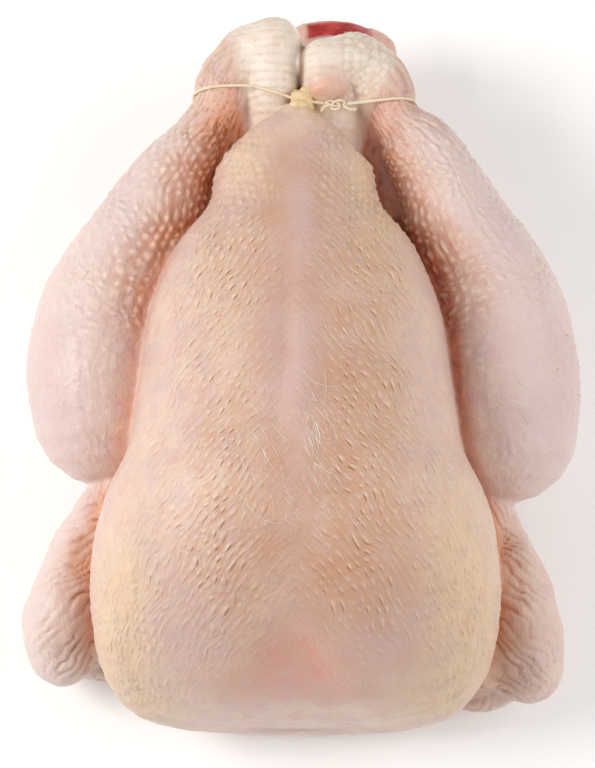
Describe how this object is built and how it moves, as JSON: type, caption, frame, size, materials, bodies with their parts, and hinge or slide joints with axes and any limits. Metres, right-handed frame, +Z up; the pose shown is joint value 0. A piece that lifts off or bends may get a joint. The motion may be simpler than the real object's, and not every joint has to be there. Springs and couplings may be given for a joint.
{
  "type": "whole raw chicken",
  "caption": "Whole raw chicken on its back, breast up, wings folded and scaly hocks tied together with elastic string.",
  "frame": {"origin": "on the table, under the middle of the bounding box", "axes": "+X to the right of the bird as seen from above with its tail up the picture, +Y towards the tail and hocks, +Z up through the breast"},
  "size_m": [0.1976, 0.2604, 0.1176],
  "materials": {
    "raw_skin": "moist raw poultry skin, pink to pale yellow, with raised feather pits, soft gloss",
    "elastic_string": "cream elastic string of twisted plies, matt"
  },
  "bodies": {
    "root": {"chicken": "raw_skin", "truss_string": "elastic_string"}
  },
  "joints": []
}
